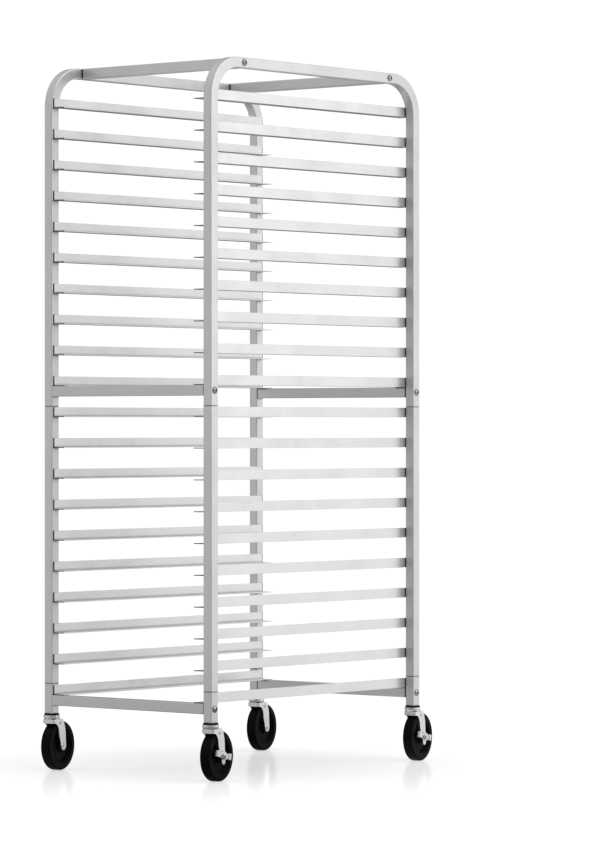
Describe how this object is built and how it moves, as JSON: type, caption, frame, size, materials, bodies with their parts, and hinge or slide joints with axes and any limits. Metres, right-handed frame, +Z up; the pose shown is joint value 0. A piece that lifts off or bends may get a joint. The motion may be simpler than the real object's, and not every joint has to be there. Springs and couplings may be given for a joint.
{
  "type": "sheet pan rack",
  "caption": "Open mobile rack of square tube: two inverted-U side frames, crossbars, angle runners for sheet pans in tiers, swivel casters, two with side brakes.",
  "frame": {"origin": "on the floor, under the middle of the rack's bounding box", "axes": "+X to the right as seen from the front where pans go in, +Y from front to rear, +Z up"},
  "size_m": [0.5674, 0.8956, 1.713],
  "materials": {
    "tube_aluminium": "fine brushed",
    "runner_aluminium": "mill finish",
    "zinc_steel": "bright zinc plate",
    "tyre": "matt black",
    "hub_polymer": "matt dark grey",
    "ring_rubber": "matt black"
  },
  "bodies": {
    "frame": {"side_frame_left": "tube_aluminium", "side_frame_right": "tube_aluminium", "lower_post_front_left": "tube_aluminium", "lower_post_front_right": "tube_aluminium", "lower_post_rear_left": "tube_aluminium", "lower_post_rear_right": "tube_aluminium", "leg_front_left": "tube_aluminium", "leg_front_right": "tube_aluminium", "leg_rear_left": "tube_aluminium", "leg_rear_right": "tube_aluminium", "top_crossbar_front": "tube_aluminium", "top_crossbar_rear": "tube_aluminium", "middle_crossbar_front": "tube_aluminium", "middle_crossbar_rear": "tube_aluminium", "bottom_crossbar_front": "tube_aluminium", "bottom_crossbar_rear": "tube_aluminium", "tier_01": "runner_aluminium", "tier_02": "runner_aluminium", "tier_03": "runner_aluminium", "tier_04": "runner_aluminium", "tier_05": "runner_aluminium", "tier_06": "runner_aluminium", "tier_07": "runner_aluminium", "tier_08": "runner_aluminium", "tier_09": "runner_aluminium", "tier_10": "runner_aluminium", "tier_11": "runner_aluminium", "tier_12": "runner_aluminium", "tier_13": "runner_aluminium", "tier_14": "runner_aluminium", "tier_15": "runner_aluminium", "tier_16": "runner_aluminium", "tier_17": "runner_aluminium", "tier_18": "runner_aluminium", "tier_19": "runner_aluminium", "tier_20": "runner_aluminium", "crossbar_bolts": "zinc_steel", "stem_rings": "ring_rubber", "stem_front_left": "zinc_steel", "stem_front_right": "zinc_steel", "stem_rear_left": "zinc_steel", "stem_rear_right": "zinc_steel"},
    "fork_body_front_left": {"fork_front_left": "zinc_steel", "axle_front_left": "zinc_steel"},
    "wheel_front_left": {"hub_front_left": "hub_polymer", "tyre_front_left": "tyre"},
    "fork_body_rear_left": {"fork_rear_left": "zinc_steel", "axle_rear_left": "zinc_steel"},
    "wheel_rear_left": {"hub_rear_left": "hub_polymer", "tyre_rear_left": "tyre"},
    "fork_body_front_right": {"fork_front_right": "zinc_steel", "axle_front_right": "zinc_steel"},
    "wheel_front_right": {"hub_front_right": "hub_polymer", "tyre_front_right": "tyre"},
    "brake_front_right": {"brake_lever_front_right": "zinc_steel"},
    "fork_body_rear_right": {"fork_rear_right": "zinc_steel", "axle_rear_right": "zinc_steel"},
    "wheel_rear_right": {"hub_rear_right": "hub_polymer", "tyre_rear_right": "tyre"},
    "brake_rear_right": {"brake_lever_rear_right": "zinc_steel"}
  },
  "joints": [
    {"name": "swivel_front_left", "type": "hinge", "parent": "frame", "child": "fork_body_front_left", "pos_m": [-0.2538, -0.4148, 0.1297], "axis": [0, 0, 1], "continuous": true},
    {"name": "wheel_spin_front_left", "type": "hinge", "parent": "fork_body_front_left", "child": "wheel_front_left", "pos_m": [-0.25914, -0.38731, 0.06], "axis": [0.9816, 0.1908, 0], "continuous": true},
    {"name": "swivel_rear_left", "type": "hinge", "parent": "frame", "child": "fork_body_rear_left", "pos_m": [-0.2538, 0.3598, 0.1297], "axis": [0, 0, 1], "continuous": true},
    {"name": "wheel_spin_rear_left", "type": "hinge", "parent": "fork_body_rear_left", "child": "wheel_rear_left", "pos_m": [-0.25914, 0.38729, 0.06], "axis": [0.9816, 0.1908, 0], "continuous": true},
    {"name": "swivel_front_right", "type": "hinge", "parent": "frame", "child": "fork_body_front_right", "pos_m": [0.2558, -0.4148, 0.1297], "axis": [0, 0, 1], "continuous": true},
    {"name": "wheel_spin_front_right", "type": "hinge", "parent": "fork_body_front_right", "child": "wheel_front_right", "pos_m": [0.25046, -0.38731, 0.06], "axis": [0.9816, 0.1908, 0], "continuous": true},
    {"name": "brake_front_right", "type": "hinge", "parent": "fork_body_front_right", "child": "brake_front_right", "pos_m": [0.25046, -0.38731, 0.06], "axis": [0.9816, 0.1908, 0], "range_deg": [0, 25]},
    {"name": "swivel_rear_right", "type": "hinge", "parent": "frame", "child": "fork_body_rear_right", "pos_m": [0.2558, 0.3598, 0.1297], "axis": [0, 0, 1], "continuous": true},
    {"name": "wheel_spin_rear_right", "type": "hinge", "parent": "fork_body_rear_right", "child": "wheel_rear_right", "pos_m": [0.25046, 0.38729, 0.06], "axis": [0.9816, 0.1908, 0], "continuous": true},
    {"name": "brake_rear_right", "type": "hinge", "parent": "fork_body_rear_right", "child": "brake_rear_right", "pos_m": [0.25046, 0.38729, 0.06], "axis": [0.9816, 0.1908, 0], "range_deg": [0, 25]}
  ]
}
